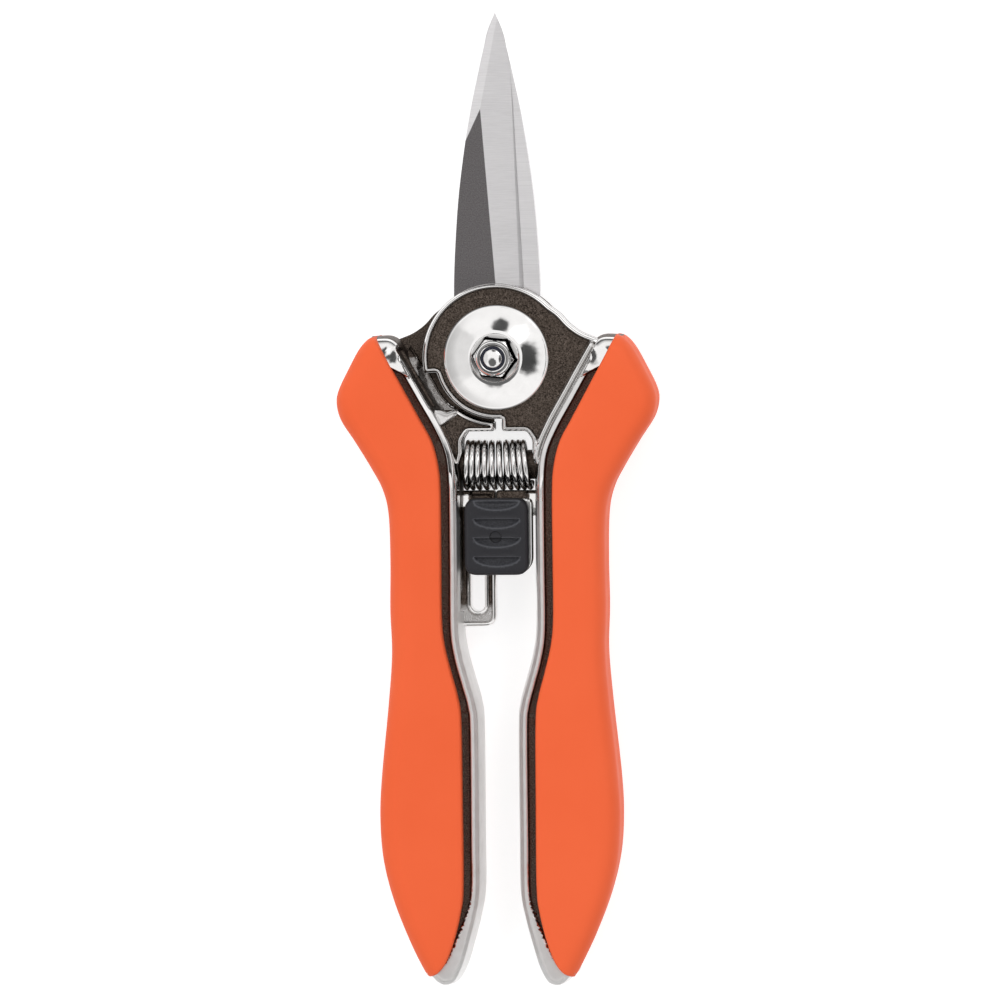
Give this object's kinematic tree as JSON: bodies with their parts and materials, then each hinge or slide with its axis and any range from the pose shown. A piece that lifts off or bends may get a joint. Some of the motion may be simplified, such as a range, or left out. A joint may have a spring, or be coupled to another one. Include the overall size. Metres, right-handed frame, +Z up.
{
  "type": "floral snips",
  "caption": "Straight-bladed floral snips with two crossed plated handles in soft grips, a coil return spring between them and a sliding thumb catch that locks them closed.",
  "frame": {"origin": "centre of the flat backs of the grips, on the surface that the tool lies on, halfway along its length", "axes": "+Y towards the blade tips, +X towards the handle that carries the front blade, +Z up out of the nut side"},
  "size_m": [0.052, 0.1588, 0.0197],
  "materials": {
    "plated_casting": "nickel-chrome plated die casting, polished rims round darker as-cast recesses",
    "grip_rubber": "smooth orange moulded soft grip, satin",
    "blade_steel": "hardened steel, fine ground bevels and a darker unground flat",
    "plated_hardware": "bright nickel plate",
    "insert_nylon": "dark blue nylon locking ring",
    "spring_wire": "bright nickel plated spring wire",
    "button_plastic": "black moulded plastic, satin",
    "pin_steel": "plain bright steel"
  },
  "bodies": {
    "left_half": {"left_handle": "plated_casting", "left_grip": "grip_rubber", "rear_blade": "blade_steel", "rear_blade_dowels": "pin_steel", "pivot_bolt": "plated_hardware", "pivot_bush": "pin_steel", "pivot_washer": "plated_hardware", "pivot_nut": "plated_hardware", "nut_insert": "insert_nylon", "return_spring": "spring_wire"},
    "right_half": {"right_handle": "plated_casting", "right_grip": "grip_rubber", "front_blade": "blade_steel", "front_blade_dowels": "pin_steel"},
    "catch": {"catch_plate": "plated_hardware", "catch_button": "button_plastic", "catch_rivet": "pin_steel", "catch_spring_washer": "pin_steel", "catch_back_button": "button_plastic"}
  },
  "joints": [
    {"name": "pivot", "type": "hinge", "parent": "left_half", "child": "right_half", "pos_m": [0, 0.0234, 0.008], "axis": [0, 0, 1], "range_deg": [0, 34], "stiffness_Nm_per_rad": 0.65, "springref_deg": 38.96, "deforming": ["return_spring"]},
    {"name": "catch_slide", "type": "slide", "parent": "left_half", "child": "catch", "axis": [0, 1, 0], "range_m": [-0.006, 0.001]}
  ]
}
